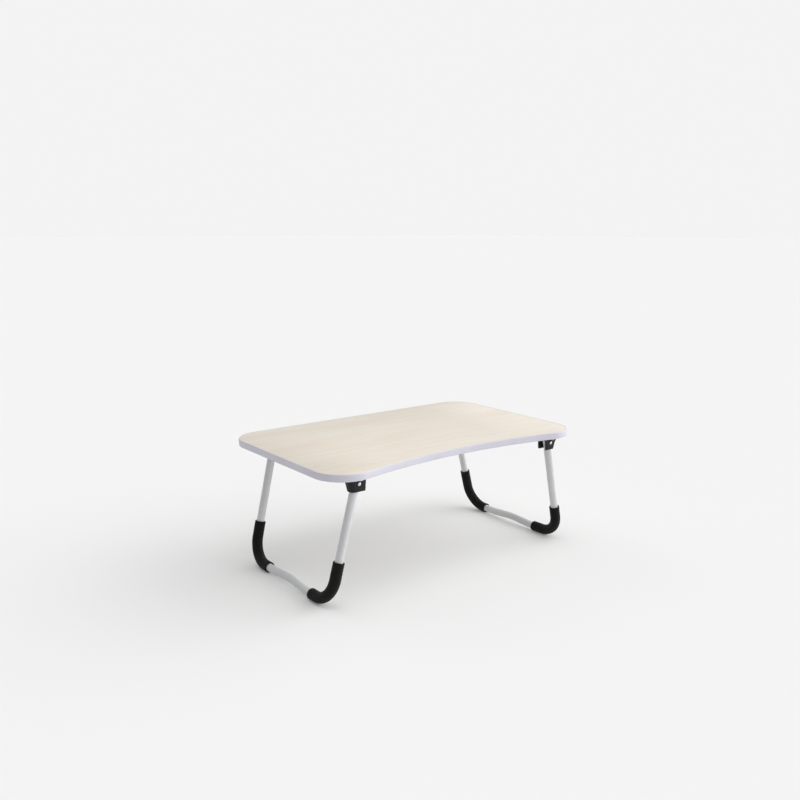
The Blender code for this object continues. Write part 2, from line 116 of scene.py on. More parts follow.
# ---------------------------------------------------------------- sizes of the finer pieces
TUBE_PLAY = 0.0003              # between a tube and its bracket's channel
CHEEK_PLAY = 0.0003             # between a cheek and the rivet head or washer on it
BRACKET_ROUNDING = 0.0003
CUT_PAST = 0.002                # how far a cutting tool runs past what it cuts
WELL_PAST = 0.03                # past the whole bracket
SHARP_ANGLE = 35                # degrees; flatter edges are shaded smooth
BEVEL_ANGLE = 40                # degrees; sharper edges are rounded
ROD_SIDES = 32
TURNED_SIDES = 40
TUBE_SIDES = 48

SLEEVE_SIDES = 64
SLEEVE_STEPS = 110              # along the sleeve, between its lips
SLEEVE_BORE = TUBE_RADIUS + 0.0001
SLEEVE_SHARP_ANGLE = 50
LIP = 0.0010                    # length of the rounded edge at each cut end
LIP_DROP = 0.00055
LIP_SHARES = (0, 0.06, 0.2, 0.45)
SWELL = 0.00010                 # slow changes of the foam's radius
DENTS = 0.00004
STRETCHED = 0.00020             # thinner outside the bend
RIPPLES = 0.00013               # squeezed up inside the bend
RIPPLE_PITCH = 0.0062
RIPPLE_SWAY = 2.5
FLARE = 0.00045                 # the bore opens at its ends
FLARE_LENGTH = 0.0022
CUT_SLANT = 0.00035             # the knife's slant and waver across an end
CUT_WAVER = 0.00018
NOISE_PER_METRE = 60
NOISE_PER_SEED = 7.3

SIDES = {"left": -1, "right": 1}
ROWS = {"front": -1, "rear": 1}


# ---------------------------------------------------------------- camera
CAMERA_PLACE = (-1.0321, -1.3052, 0.6447)
CAMERA_TURN = (37.822, 11.377, 0.240)   # degrees: from +Y towards +X, down, and rolled
SENSOR_WIDTH = 36.0                     # mm
FOCAL_LENGTH = 38.524                   # mm
VIEW_REACH = 200.0


def build_camera():
    """A long side and the left end in view, from a little above."""
    yaw, pitch, roll = map(math.radians, CAMERA_TURN)
    ahead = Vector((math.sin(yaw) * math.cos(pitch), math.cos(yaw) * math.cos(pitch),
                    -math.sin(pitch)))
    right = Vector((math.cos(yaw), -math.sin(yaw), 0))
    up = right.cross(ahead)
    x_axis = math.cos(roll) * right + math.sin(roll) * up
    y_axis = math.cos(roll) * up - math.sin(roll) * right
    turn = Matrix((x_axis, y_axis, -ahead)).transposed().to_4x4()
    data = bpy.data.cameras.new("camera")
    data.sensor_width = SENSOR_WIDTH
    data.lens = FOCAL_LENGTH
    data.clip_end = VIEW_REACH
    camera = bpy.data.objects.new("camera", data)
    camera.matrix_world = Matrix.Translation(CAMERA_PLACE) @ turn
    bpy.context.scene.collection.objects.link(camera)
    bpy.context.scene.camera = camera


# ---------------------------------------------------------------- materials
def linear(red, green, blue):
    """A linear colour with alpha from 8-bit sRGB values."""
    def channel(v):
        v /= 255
        return v / 12.92 if v <= 0.04045 else ((v + 0.055) / 1.055) ** 2.4
    return channel(red), channel(green), channel(blue), 1.0


class Finish:
    """A Principled material, with short calls that add nodes to it."""

    def __init__(self, name, **fixed):
        self.material = bpy.data.materials.new(name)
        self.material.use_nodes = True
        self.tree = self.material.node_tree
        self.shader = self.tree.nodes["Principled BSDF"]
        for key, value in fixed.items():
            self.shader.inputs[key.replace("_", " ")].default_value = value

    def node(self, kind, inputs=None, **settings):
        made = self.tree.nodes.new("ShaderNode" + kind)
        for key, value in settings.items():
            setattr(made, key, value)
        for key, value in (inputs or {}).items():
            if isinstance(value, bpy.types.NodeSocket):
                self.tree.links.new(value, made.inputs[key])
            else:
                made.inputs[key].default_value = value
        return made

    def space(self, stretch=(1, 1, 1), source="Object"):
        """Texture space in metres, stretched along its axes."""
        coord = self.node("TexCoord").outputs[source]
        return self.node("Mapping", {"Vector": coord, "Scale": stretch}).outputs["Vector"]

    def noise(self, space, scale, detail, rough=0.5):
        return self.node("TexNoise", {"Vector": space, "Scale": scale, "Detail": detail,
                                      "Roughness": rough}).outputs["Fac"]

    def ramp(self, value, *stops):
        """Colours (or grey levels) at positions along `value`."""
        made = self.node("ValToRGB", {"Fac": value})
        elements = made.color_ramp.elements
        while len(elements) < len(stops):
            elements.new(0.5)
        for element, (position, colour) in zip(elements, stops):
            element.position = position
            element.color = colour if isinstance(colour, tuple) else (colour, colour, colour, 1)
        return made.outputs["Color"]

    def mix(self, factor, first, second):
        """From the `first` colour to the `second`; 6, 7 and 2 are the node's colour sockets."""
        return self.node("Mix", {0: factor, 6: first, 7: second}, data_type="RGBA").outputs[2]

    def math(self, operation, first, second):
        return self.node("Math", {0: first, 1: second}, operation=operation).outputs[0]

    def spread(self, value, low, high):
        """`value` from 0..1 to low..high."""
        return self.node("MapRange", {"Value": value, "To Min": low, "To Max": high}).outputs[0]

    def set(self, colour, roughness=None):
        """Link the colour and, where it varies, the roughness."""
        for key, value in (("Base Color", colour), ("Roughness", roughness)):
            if value is not None:
                self.tree.links.new(value, self.shader.inputs[key])

    def bump(self, height, distance, strength):
        """Link the relief, and return the finished material."""
        made = self.node("Bump", {"Height": height, "Distance": distance, "Strength": strength})
        self.tree.links.new(made.outputs["Normal"], self.shader.inputs["Normal"])
        return self.material


def maple_finish():
    """Printed maple: long pale streaks along the board, faint arcs of figure and short flecks."""
    f = Finish("maple_laminate", Specular_IOR_Level=0.10)
    place = f.space()
    sway = f.noise(f.space((2.2, 5.0, 1)), 1.0, 2)
    y_shift = f.spread(sway, -0.010, 0.010)
    shifted = f.node("VectorMath", {0: place, 1: f.node("CombineXYZ", {"Y": y_shift}).outputs[0]},
                     operation="ADD").outputs[0]

    def grain(stretch, scale, detail, rough=0.55):
        mapped = f.node("Mapping", {"Vector": shifted, "Scale": stretch}).outputs["Vector"]
        return f.noise(mapped, scale, detail, rough)

    broad = grain((1.0, 7.0, 1), 3.2, 3)
    streaks = grain((1.0, 26.0, 1), 5.0, 5, 0.6)
    fibres = grain((1.0, 38.0, 1), 30.0, 4, 0.65)
    flecks = grain((1.0, 9.0, 1), 120.0, 2)
    clouds = f.noise(place, 4.5, 2)

    pale, warm, shade = linear(225, 218, 208), linear(222, 213, 200), linear(213, 200, 180)
    colour = f.ramp(broad, (0.30, warm), (0.52, pale), (0.75, linear(226, 220, 211)))
    colour = f.mix(f.ramp(streaks, (0.36, 0.30), (0.52, 0.0)), colour, shade)
    colour = f.mix(f.ramp(fibres, (0.40, 0.14), (0.58, 0.0)), colour, linear(206, 190, 166))
    colour = f.mix(f.ramp(flecks, (0.66, 0.0), (0.76, 0.18)), colour, linear(236, 231, 222))
    colour = f.mix(f.ramp(clouds, (0.45, 0.0), (0.75, 0.24)), colour, linear(227, 217, 197))
    roughness = f.spread(f.math("ADD", fibres, f.math("MULTIPLY", clouds, 0.6)), 0.54, 0.70)
    f.set(colour, roughness)
    return f.bump(f.math("ADD", fibres, f.math("MULTIPLY", flecks, 0.35)), 0.00004, 0.4)


def band_finish():
    """Extruded PVC in lavender grey, with faint draw lines along it and small scuffs."""
    f = Finish("pvc_edge_band", Specular_IOR_Level=0.5)
    lines = f.noise(f.space((1.5, 1.5, 700)), 1.0, 3, 0.6)
    mottle = f.noise(f.space(), 14.0, 4)
    grit = f.noise(f.space(), 1500.0, 2)
    scuffs = f.noise(f.space((1, 1, 3)), 60.0, 5, 0.7)
    colour = f.ramp(mottle, (0.3, linear(203, 201, 213)), (0.7, linear(209, 207, 217)))
    colour = f.mix(f.ramp(lines, (0.35, 0.14), (0.6, 0.0)), colour, linear(186, 183, 196))
    colour = f.mix(f.ramp(scuffs, (0.66, 0.0), (0.74, 0.35)), colour, linear(222, 219, 226))
    f.set(colour, f.spread(f.math("ADD", lines, f.math("MULTIPLY", scuffs, 0.5)), 0.26, 0.46))
    return f.bump(f.math("ADD", f.math("MULTIPLY", lines, 0.7), f.math("MULTIPLY", grit, 0.3)),
                  0.00004, 0.6)


def backing_finish():
    """White melamine backing with a faint mottle and rubbed patches."""
    f = Finish("backing_laminate", Specular_IOR_Level=0.35)
    mottle = f.noise(f.space(), 9.0, 5, 0.6)
    grit = f.noise(f.space(), 900.0, 3)
    rubs = f.noise(f.space((3, 14, 1)), 6.0, 4, 0.7)
    colour = f.ramp(mottle, (0.3, linear(208, 206, 200)), (0.7, linear(218, 216, 211)))
    colour = f.mix(f.ramp(rubs, (0.62, 0.0), (0.72, 0.25)), colour, linear(196, 193, 186))
    f.set(colour, f.spread(f.math("ADD", mottle, rubs), 0.30, 0.62))
    return f.bump(grit, 0.00005, 0.5)


def fibreboard_finish():
    """Raw fibreboard: short matted fibres, darker specks."""
    f = Finish("mdf_core", Specular_IOR_Level=0.25)
    fibres = f.noise(f.space((1, 1, 4)), 420.0, 5, 0.7)
    specks = f.noise(f.space(), 1600.0, 1)
    colour = f.ramp(fibres, (0.3, linear(150, 121, 88)), (0.7, linear(182, 153, 116)))
    colour = f.mix(f.ramp(specks, (0.68, 0.0), (0.74, 0.5)), colour, linear(104, 80, 55))
    f.set(colour, f.spread(fibres, 0.75, 0.95))
    return f.bump(fibres, 0.0002, 0.6)


def powder_coat_finish():
    """Light grey satin powder coat: orange peel, faint dust and rubbed patches."""
    f = Finish("powder_coated_tube", Specular_IOR_Level=0.5, Coat_Weight=0.15, Coat_Roughness=0.25)
    peel = f.noise(f.space(), 620.0, 2, 0.4)
    fine = f.noise(f.space(), 2600.0, 2)
    cloud = f.noise(f.space(), 11.0, 4)
    rubs = f.noise(f.space((1, 1, 0.35)), 90.0, 5, 0.7)
    colour = f.ramp(cloud, (0.3, linear(202, 203, 205)), (0.7, linear(210, 211, 213)))
    colour = f.mix(f.ramp(rubs, (0.66, 0.0), (0.74, 0.30)), colour, linear(188, 189, 191))
    f.set(colour, f.spread(f.math("ADD", f.math("MULTIPLY", cloud, 0.5), rubs), 0.26, 0.46))
    return f.bump(f.math("ADD", peel, f.math("MULTIPLY", fine, 0.25)), 0.00006, 0.7)


def foam_finish():
    """Black closed-cell foam: fine cells, streaks drawn along the sleeve, pale rubbed dust."""
    f = Finish("black_foam", Specular_IOR_Level=0.18, Sheen_Weight=0.06, Sheen_Roughness=0.5)
    along = f.space((26, 900, 1), "UV")
    streaks = f.noise(along, 1.0, 4, 0.6)
    cells = f.node("TexVoronoi", {"Vector": f.space(), "Scale": 2400.0}).outputs["Distance"]
    cloud = f.noise(f.space(), 55.0, 4, 0.6)
    dust = f.noise(f.space(), 260.0, 4, 0.75)
    colour = f.ramp(streaks, (0.35, linear(7, 7, 6)), (0.68, linear(18, 18, 17)))
    colour = f.mix(f.ramp(cloud, (0.55, 0.0), (0.8, 0.35)), colour, linear(34, 33, 32))
    colour = f.mix(f.ramp(dust, (0.66, 0.0), (0.76, 0.20)), colour, linear(60, 59, 57))
    f.set(colour, f.spread(f.math("ADD", cloud, f.math("MULTIPLY", streaks, 0.4)), 0.62, 0.90))
    height = f.math("ADD", f.math("MULTIPLY", cells, 0.6), f.math("MULTIPLY", streaks, 0.8))
    return f.bump(height, 0.00025, 0.7)


def nylon_finish():
    """Black moulded plastic with a spark-eroded grain and a little handling shine."""
    f = Finish("black_nylon", Specular_IOR_Level=0.30)
    grain = f.noise(f.space(), 2200.0, 3, 0.6)
    flow = f.noise(f.space((1, 1, 2)), 130.0, 4, 0.6)
    rubs = f.noise(f.space(), 420.0, 4, 0.7)
    colour = f.ramp(flow, (0.3, linear(14, 14, 15)), (0.7, linear(24, 24, 25)))
    colour = f.mix(f.ramp(rubs, (0.66, 0.0), (0.76, 0.25)), colour, linear(52, 52, 53))
    f.set(colour, f.spread(f.math("ADD", flow, f.math("MULTIPLY", rubs, 0.4)), 0.36, 0.58))
    return f.bump(grain, 0.00008, 0.6)


def steel_finish(name, light, dark, low, high):
    """Zinc-plated steel: cloudy plating, fine turning scratches, dull spots."""
    f = Finish(name, Metallic=1.0)
    cloud = f.noise(f.space(), 500.0, 4, 0.6)
    scratches = f.noise(f.space((900, 5200, 900)), 1.0, 3, 0.6)
    spots = f.noise(f.space(), 1500.0, 2)
    colour = f.ramp(cloud, (0.3, dark), (0.7, light))
    colour = f.mix(f.ramp(spots, (0.68, 0.0), (0.78, 0.4)), colour, dark)
    f.set(colour, f.spread(f.math("ADD", cloud, f.math("MULTIPLY", scratches, 0.5)), low, high))
    return f.bump(scratches, 0.00003, 0.5)


# ---------------------------------------------------------------- mesh helpers
def loft(name, rings, closed=False, uvs=None, sharp=SHARP_ANGLE):
    """A mesh of quads between rings of points, with its two ends capped.

    `closed` joins the last ring to the first instead.  `uvs` gives each ring its (u, [v, ...])
    with one more v than the ring has points.
    """
    count = len(rings[0])
    bm = bmesh.new()
    layer = bm.loops.layers.uv.new("along")
    verts = [[bm.verts.new(p) for p in ring] for ring in rings]
    pairs = [(i, i + 1) for i in range(len(rings) - 1)]
    if closed:
        pairs.append((len(rings) - 1, 0))
    for a, b in pairs:
        for i in range(count):
            j = (i + 1) % count
            face = bm.faces.new((verts[a][i], verts[a][j], verts[b][j], verts[b][i]))
            if uvs:
                corners = ((a, i), (a, i + 1), (b, i + 1), (b, i))
                for loop, (ring, k) in zip(face.loops, corners):
                    loop[layer].uv = (uvs[ring][0], uvs[ring][1][k])
    if not closed:
        bm.faces.new(list(reversed(verts[0])))
        bm.faces.new(verts[-1])
    return finish_mesh(name, bm, sharp)


def finish_mesh(name, bm, sharp=SHARP_ANGLE):
    """A plain mesh from `bm`, faced outward and shaded smooth up to the `sharp` angle."""
    bmesh.ops.recalc_face_normals(bm, faces=bm.faces)
    bmesh.ops.triangulate(bm, faces=[f for f in bm.faces if len(f.verts) > 4])
    mesh = bpy.data.meshes.new(name)
    bm.to_mesh(mesh)
    bm.free()
    mesh.shade_smooth()
    mesh.set_sharp_from_angle(angle=math.radians(sharp))
    return mesh


def turned(name, profile):
    """Solid of revolution about Z from (radius, z) points that start and end on the axis."""
    bm = bmesh.new()
    sides = TURNED_SIDES
    angles = [2 * math.pi * i / sides for i in range(sides)]
    rings = [[bm.verts.new((r * math.cos(a), r * math.sin(a), z)) for a in angles]
             for r, z in profile[1:-1]]
    for low, high in zip(rings, rings[1:]):
        for i in range(sides):
            j = (i + 1) % sides
            bm.faces.new((low[i], low[j], high[j], high[i]))
    for (_, z), ring in ((profile[0], rings[0]), (profile[-1], rings[-1])):
        tip = bm.verts.new((0, 0, z))
        for i in range(sides):
            bm.faces.new((ring[i], ring[(i + 1) % sides], tip))
    return finish_mesh(name, bm)


def rod(radius, start, end):
    """A closed cylinder between two points, for cutting holes."""
    start, end = Vector(start), Vector(end)
    turn = Vector((0, 0, 1)).rotation_difference(end - start).to_matrix().to_4x4()
    bm = bmesh.new()
    bmesh.ops.create_cone(bm, cap_ends=True, segments=ROD_SIDES, radius1=radius,
                          radius2=radius, depth=(end - start).length,
                          matrix=Matrix.Translation((start + end) / 2) @ turn)
    return finish_mesh("rod", bm)


def carved(name, mesh, tools, bevel=0.0):
    """`mesh` after its (operation, mesh) tools, with its edges rounded by `bevel`."""
    base = bpy.data.objects.new(name, mesh)
    bpy.context.scene.collection.objects.link(base)
    helpers = []
    for operation, tool in tools:
        helper = bpy.data.objects.new("tool", tool)
        bpy.context.scene.collection.objects.link(helper)
        helpers.append(helper)
        mod = base.modifiers.new(operation.lower(), "BOOLEAN")
        mod.operation = operation
        mod.solver = "EXACT"
        mod.object = helper
    if bevel:
        mod = base.modifiers.new("rounding", "BEVEL")
        mod.width = bevel
        mod.segments = 2
        mod.limit_method = "ANGLE"
        mod.angle_limit = math.radians(BEVEL_ANGLE)
        mod.use_clamp_overlap = True
    bpy.context.view_layer.update()
    evaluated = base.evaluated_get(bpy.context.evaluated_depsgraph_get())
    result = bpy.data.meshes.new_from_object(evaluated)
    for obj in helpers + [base]:
        bpy.data.objects.remove(obj, do_unlink=True)
    result.shade_smooth()
    result.set_sharp_from_angle(angle=math.radians(SHARP_ANGLE))
    return result


def add_piece(name, mesh, material, body, nodes, matrix=None):
    """Put a finished mesh in the scene, on its body, in place of its CAD nodes."""
    piece = bpy.data.objects.new(name, mesh)
    bpy.context.scene.collection.objects.link(piece)
    mesh.materials.clear()
    mesh.materials.append(material)
    if matrix is not None:
        piece.matrix_world = matrix
    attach(piece, body)
    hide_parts(*nodes)
    return piece


# ---------------------------------------------------------------- the board
def arc(cx, cy, radius, start, end, steps):
    """Points of an arc about (cx, cy), without its last point."""
    for i in range(steps):
        a = start + (end - start) * i / steps
        yield Vector((cx + radius * math.cos(a), cy + radius * math.sin(a)))


def board_outline(inset):
    """Outline pulled in by `inset`, anticlockwise from one side of the band's seam round to it."""
    front_steps, corner_steps, back_steps = 90, 30, 12
    corner_x = TOP_LENGTH / 2 - CORNER_RADIUS
    back_y = TOP_DEPTH / 2 - CORNER_RADIUS
    front_y = -back_y
    rise = CORNER_RADIUS - FRONT_DIP
    sweep = (corner_x ** 2 + rise ** 2 - CORNER_RADIUS ** 2) / (2 * FRONT_DIP)
    sweep_y = front_y - rise - sweep
    lean = math.atan2(front_y - sweep_y, corner_x)
    r = CORNER_RADIUS - inset
    half = math.pi / 2
    back = [Vector((-SEAM_HALF - (corner_x - SEAM_HALF) * i / back_steps, back_y + r))
            for i in range(back_steps)]
    points = back + list(arc(-corner_x, back_y, r, half, math.pi, corner_steps))
    points += [Vector((-corner_x - r, back_y))]
    points += arc(-corner_x, front_y, r, math.pi, 2 * math.pi - lean, corner_steps)
    points += arc(0, sweep_y, sweep + inset, math.pi - lean, lean, front_steps)
    points += arc(corner_x, front_y, r, lean + math.pi, 2 * math.pi, corner_steps)
    points += [Vector((corner_x + r, front_y))]
    points += arc(corner_x, back_y, r, 0, half, corner_steps)
    points += [Vector((-p.x, p.y)) for p in reversed(back)]
    return points


def plate(name, profile):
    """A solid plate whose rim follows (inset, z) points from bottom to top."""
    return loft(name, [[(p.x, p.y, z) for p in board_outline(inset)] for inset, z in profile])


def band_profile():
    """(inset, z) points round the band's section: crowned face, soft edges, barbed tongue."""
    round_edge, crown, edge_steps, face_steps = 0.0013, 0.00022, 5, 8
    low, high = UNDERSIDE_Z, TABLE_HEIGHT
    middle, half = (low + high) / 2, (high - low) / 2
    points = []
    for i in range(edge_steps + 1):
        a = math.pi / 2 * i / edge_steps
        points.append((crown + round_edge * (1 - math.sin(a)),
                       low + round_edge * (1 - math.cos(a))))
    for i in range(1, face_steps):
        z = low + round_edge + (2 * half - 2 * round_edge) * i / face_steps
        points.append((crown * ((z - middle) / (half - round_edge)) ** 2, z))
    for i in range(edge_steps + 1):
        a = math.pi / 2 * (1 - i / edge_steps)
        points.append((crown + round_edge * (1 - math.sin(a)),
                       high - round_edge * (1 - math.cos(a))))
    inner = BAND_THICKNESS
    root, barb, tip = 0.0007, 0.0011, 0.0065
    points.append((inner, high))
    points += [(inner, middle + root), (inner + tip * 0.3, middle + barb),
               (inner + tip * 0.35, middle + root), (inner + tip * 0.65, middle + barb),
               (inner + tip * 0.7, middle + root), (inner + tip, middle + root * 0.6)]
    points += [(i, 2 * middle - z) for i, z in reversed(points[-6:])]
    points.append((inner, low))
    return points


def build_board(finishes):
    """The two laminates and the band round them; the core keeps its CAD shape."""
    lip = 0.0002                # the band stands this much above the laminate
    rim = BAND_THICKNESS + 0.0001           # the sheets stop just short of the band
    soft = 0.00015              # eased edge of the laminate
    top = TABLE_HEIGHT - lip
    mesh = plate("maple_top", [(rim, TABLE_HEIGHT - LAMINATE), (rim, top - soft),
                               (rim + soft * 0.3, top - soft * 0.3), (rim + soft, top)])
    add_piece("maple_top", mesh, finishes["maple"], "table_top",
              ["top_laminate"])

    mesh = plate("backing_sheet", [(rim, UNDERSIDE_Z), (rim, UNDERSIDE_Z + LAMINATE)])
    holes = [("DIFFERENCE", rod(HOLE_RADIUS, (x, y, UNDERSIDE_Z - CUT_PAST),
                                (x, y, UNDERSIDE_Z + CUT_PAST)))
             for x, y in (screw_place(n)[:2] for n in screw_nodes())]
    add_piece("backing_sheet", carved("backing_sheet", mesh, holes), finishes["backing"],
              "table_top", ["bottom_laminate"])

    profile = band_profile()
    columns = [board_outline(inset) for inset, _ in profile]
    sections = [[(column[i].x, column[i].y, z) for column, (_, z) in zip(columns, profile)]
                for i in range(len(columns[0]))]
    add_piece("edge_band_strip", loft("edge_band_strip", sections), finishes["band"],
              "table_top", ["edge_band"])


# ---------------------------------------------------------------- hinge brackets
def screw_nodes():
    """The CAD screws' names, in a fixed order."""
    return sorted(n for n in frame["nodes"] if n.startswith("bracket_screw"))


def screw_place(node):
    """A screw's axis and the underside of its head, from its CAD solid."""
    low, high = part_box(node)
    return Vector(((low.x + high.x) / 2, (low.y + high.y) / 2, low.z + SCREW_HEAD_HEIGHT))


def bracket_section(plan, z, inset=0.0):
    """A bracket's outline at one height: square at its inner end, rounded at its outer end."""
    steps = 18                  # round each corner
    x_in, x_out, half, radius = plan[0] + inset, plan[1] - inset, plan[2] - inset, plan[3] - inset
    points = [Vector((x_in, -half))]
    points += arc(x_out - radius, -half + radius, radius, -math.pi / 2, 0, steps)
    points += [Vector((x_out, -half + radius)), Vector((x_out, half - radius))]
    points += list(arc(x_out - radius, half - radius, radius, 0, math.pi / 2, steps))[1:]
    points += [Vector((x_out - radius, half)), Vector((x_in, half))]
    return [(p.x, p.y, z) for p in points]


def prism(name, outline, low, high, axis="z"):
    """An outline of (a, b) points carried from `low` to `high` along an axis."""
    order = {"z": lambda a, b, c: (a, b, c), "x": lambda a, b, c: (c, a, b)}[axis]
    return loft(name, [[order(a, b, c) for a, b in outline] for c in (low, high)])


def bracket_mesh():
    """Bracket of the right-hand side, about its pivot: outward is +X, the board is above."""
    top = PIVOT_DROP - BRACKET_GAP
    bottom = -BRACKET_BELOW_PIVOT
    floor = top - BRACKET_FLOOR
    body = loft("bracket", [bracket_section(BRACKET_PLAN_LOW, bottom, BRACKET_EDGE),
                            bracket_section(BRACKET_PLAN_LOW, bottom + BRACKET_EDGE * 0.3,
                                            BRACKET_EDGE * 0.3),
                            bracket_section(BRACKET_PLAN_LOW, bottom + BRACKET_EDGE),
                            bracket_section(BRACKET_PLAN_PIVOT, 0.0),
                            bracket_section(BRACKET_PLAN_TOP, top)])
    ear_steps, channel_steps = 24, 32
    end = EAR_REACH - EAR_HALF
    ears = [(EAR_HALF, -end), (EAR_HALF, end)]
    ears += [tuple(p) for p in arc(0, end, EAR_HALF, 0, math.pi, ear_steps)][1:]
    ears += [(-EAR_HALF, end), (-EAR_HALF, -end)]
    ears += [tuple(p) for p in arc(0, -end, EAR_HALF, math.pi, 2 * math.pi, ear_steps)][1:]

    # the channel, open below and inward, slants with the opened tube
    back = (TUBE_RADIUS + TUBE_PLAY) / math.cos(SPLAY)
    rings = []
    for z in (bottom - CUT_PAST, floor):
        shift = -z * math.tan(SPLAY)
        ring = [(shift + back * math.cos(a), CHANNEL_HALF * math.sin(a), z)
                for a in (math.pi * (i / channel_steps - 0.5) for i in range(channel_steps + 1))]
        rings.append(ring + [(-WELL_PAST, CHANNEL_HALF, z), (-WELL_PAST, -CHANNEL_HALF, z)])
    channel = loft("channel", rings)

    tools = [("UNION", prism("ears", ears, floor, top))]
    # webs that stiffen each ear against its cheek, clear of the screw head
    web_root, web_foot, web_drop = CHEEK_FACE - 0.0006, 0.0168, 0.0052
    web_half, web_x, sunk = 0.0006, 0.0051, 0.0004
    for facing in (-1, 1):
        web = [(facing * web_root, floor + sunk), (facing * web_foot, floor + sunk),
               (facing * web_foot, floor - sunk), (facing * web_root, floor - web_drop)]
        for x in (-web_x, web_x):
            tools.append(("UNION", prism("web", web, x - web_half, x + web_half, "x")))
    tools += [("DIFFERENCE", channel),
              ("DIFFERENCE", rod(END_ROUND + TUBE_PLAY, (0, -CHANNEL_HALF, 0),
                                 (0, CHANNEL_HALF, 0))),
              ("DIFFERENCE", rod(RIVET_HOLE_RADIUS, (0, -WELL_PAST, 0), (0, WELL_PAST, 0)))]
    for y in (-SCREW_OFFSET, SCREW_OFFSET):
        tools.append(("DIFFERENCE", rod(HOLE_RADIUS, (0, y, floor - CUT_PAST),
                                        (0, y, top + CUT_PAST))))
    return carved("hinge_bracket", body, tools, bevel=BRACKET_ROUNDING)


def screw_mesh():
    """Pan-head screw, pointing up, with the underside of its head at z = 0."""
    head, high, shank, tip = SCREW_HEAD_RADIUS, SCREW_HEAD_HEIGHT, SCREW_RADIUS, 0.0003
    profile = [(0, -high), (head * 0.3, -high * 0.995), (head * 0.55, -high * 0.96),
               (head * 0.75, -high * 0.86), (head * 0.9, -high * 0.66),
               (head * 0.985, -high * 0.4), (head, -high * 0.15), (head * 0.97, 0), (shank, 0),
               (shank, SCREW_LENGTH * 0.7), (shank * 0.3, SCREW_LENGTH - tip),
               (0, SCREW_LENGTH)]
    wing, web, depth = 0.0019, 0.0004, 0.0012       # of the cross recess
    quarter = [(wing, -web), (wing, web), (web * 1.4, web * 1.4)]
    cross = []
    for turn in range(4):
        a = math.pi / 2 * turn
        cross += [(x * math.cos(a) - y * math.sin(a), x * math.sin(a) + y * math.cos(a))
                  for x, y in quarter]
    recess = loft("recess", [[(x * s, y * s, z) for x, y in cross]
                             for s, z in ((1.1, -high - 0.0002), (0.45, -high + depth))])
    return carved("bracket_screw", turned("screw", profile), [("DIFFERENCE", recess)])


def rivet_mesh():
    """Pivot rivet along Z: domed head at the bottom, rolled over its washer at the top."""
    head, height, land = RIVET_HEAD_RADIUS, RIVET_HEAD_HEIGHT, 0.0002
    under = -CHEEK_FACE - CHEEK_PLAY
    clinch = CHEEK_FACE + WASHER_THICKNESS + 0.0009
    profile = [(0, under - height)]
    for degrees in range(10, 90, 10):
        a = math.radians(degrees)
        profile.append((head * math.sin(a), under - height * math.cos(a)))
    foot, waist = 0.0034, 0.0036                    # radii of the rolled rim
    profile += [(head, under - land), (head * 0.97, under), (RIVET_RADIUS, under),
                (RIVET_RADIUS, clinch), (foot, clinch), (waist, clinch + 0.0003)]
    crest_radius, crest_half, crest_low, crest_rise = 0.00235, 0.00115, 0.0005, 0.0006
    crest_steps = 4
    for i in range(crest_steps + 1):
        a = math.pi * i / crest_steps
        profile.append((crest_radius + crest_half * math.cos(a),
                        clinch + crest_low + crest_rise * math.sin(a)))
    profile += [(0.0011, clinch + 0.0003), (0, clinch + 0.0002)]        # the dimple in it
    return turned("pivot_rivet", profile)


def washer_mesh():
    """Steel washer with eased edges, about the rivet's axis."""
    low = CHEEK_FACE + CHEEK_PLAY
    high = low + WASHER_THICKNESS
    soft = 0.00012
    section = [(RIVET_HOLE_RADIUS, low), (WASHER_RADIUS - soft, low), (WASHER_RADIUS, low + soft),
               (WASHER_RADIUS, high - soft), (WASHER_RADIUS - soft, high),
               (RIVET_HOLE_RADIUS + soft, high), (RIVET_HOLE_RADIUS, high - soft)]
    rings = [[(r * math.cos(a), r * math.sin(a), z) for r, z in section]
             for a in (2 * math.pi * i / TURNED_SIDES for i in range(TURNED_SIDES))]
    return loft("rivet_washer", rings, closed=True)


def build_hinges(finishes):
    """Four brackets with their rivets and washers, and the eight screws that hold them."""
    bracket, rivet, washer, screw = bracket_mesh(), rivet_mesh(), washer_mesh(), screw_mesh()
    for row, facing in ROWS.items():
        for side in SIDES:
            node = f"hinge_bracket_{row}_{side}"
            low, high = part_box(node)
            pivot = Vector((PIVOTS[side + "_leg"].x, (low.y + high.y) / 2,
                            PIVOTS[side + "_leg"].z))
            here = Matrix.Translation(pivot)
            turn = Matrix.Rotation(0 if side == "right" else math.pi, 4, "Z")
            add_piece(f"bracket_{row}_{side}", bracket, finishes["nylon"], "table_top",
                      [node], here @ turn)
            across = Matrix.Rotation(facing * math.pi / 2, 4, "X")
            for kind, mesh in (("pivot_rivet", rivet), ("rivet_washer", washer)):
                add_piece(f"{kind}_fine_{row}_{side}", mesh, finishes["zinc"], "table_top",
                          [f"{kind}_{row}_{side}"], here @ across)
    for index, node in enumerate(screw_nodes()):
        spin = Matrix.Rotation(0.7 + 1.9 * index, 4, "Z")      # each stopped at its own turn
        add_piece(node.replace("bracket_screw", "pan_head"), screw, finishes["screw"],
                  "table_top", [node],
                  Matrix.Translation(screw_place(node)) @ spin)


